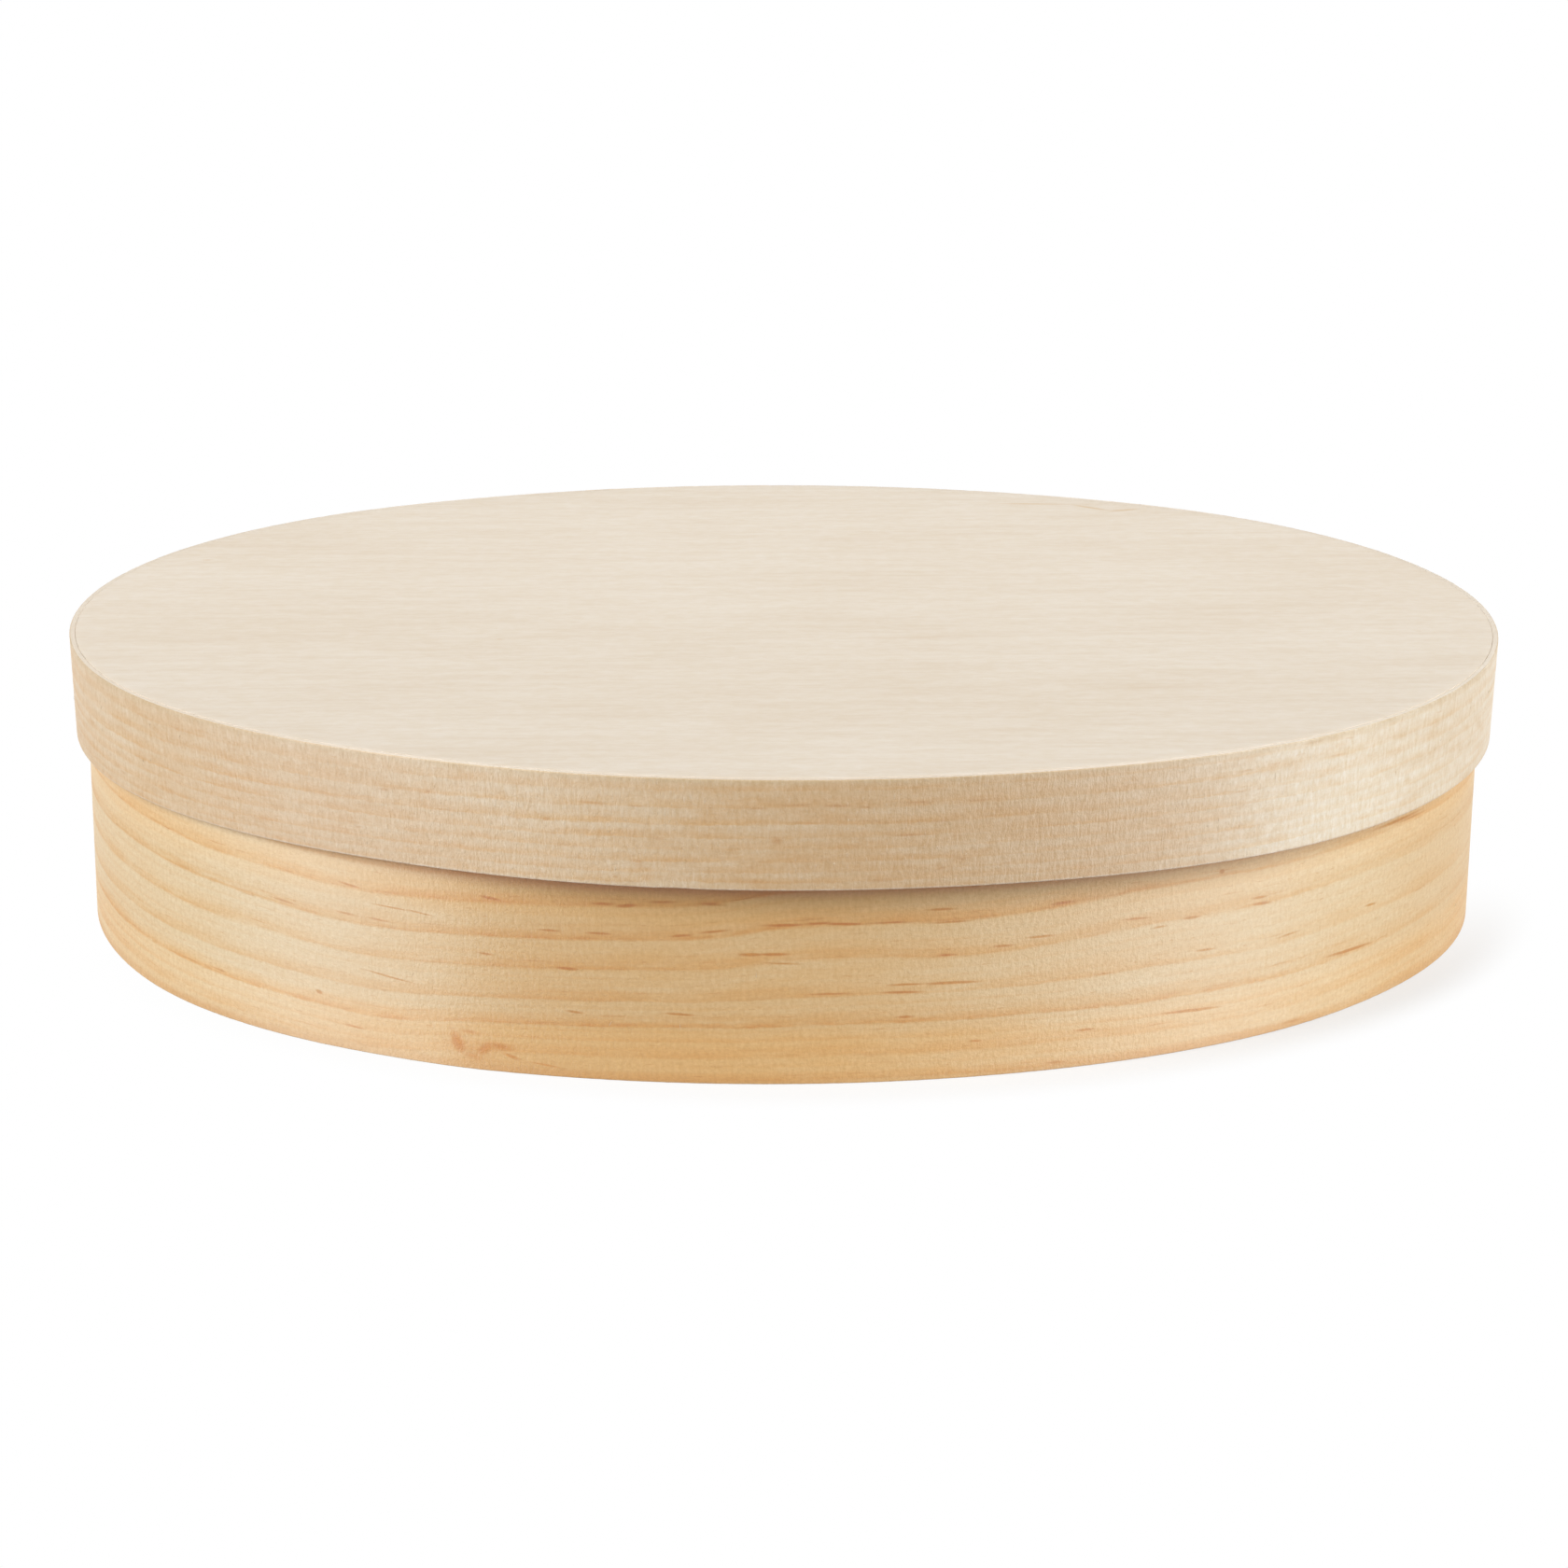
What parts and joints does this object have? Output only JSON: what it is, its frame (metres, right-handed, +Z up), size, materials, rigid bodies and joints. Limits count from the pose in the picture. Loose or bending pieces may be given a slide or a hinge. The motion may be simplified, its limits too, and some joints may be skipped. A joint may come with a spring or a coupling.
{
  "type": "oval bentwood cheese box",
  "caption": "Low oval bentwood box for cheese, with a glued bottom board and a drop-over lid whose flat board sits flush in its bent rim.",
  "frame": {"origin": "centre of the underside of the closed box", "axes": "+X along the oval's length, +Y to the back where the strips lap, +Z up through the lid"},
  "size_m": [0.3, 0.2484, 0.0604],
  "materials": {
    "base_wood": "planed softwood strip, warm straw, raw",
    "lid_wood": "sawn softwood strip with fine rings, pale tan, raw",
    "board_wood": "sanded pale board, raw",
    "dried_glue": "dried wood glue, satin"
  },
  "bodies": {
    "base": {"base_band": "base_wood", "base_lap_glue": "dried_glue", "bottom_panel": "board_wood", "bottom_glue_bead": "dried_glue"},
    "lid": {"lid_band": "lid_wood", "lid_lap_glue": "dried_glue", "lid_panel": "board_wood", "lid_glue_bead": "dried_glue"}
  },
  "joints": [
    {"name": "lid_lift", "type": "slide", "parent": "base", "child": "lid", "axis": [0, 0, 1], "range_m": [0, 0.08]}
  ]
}
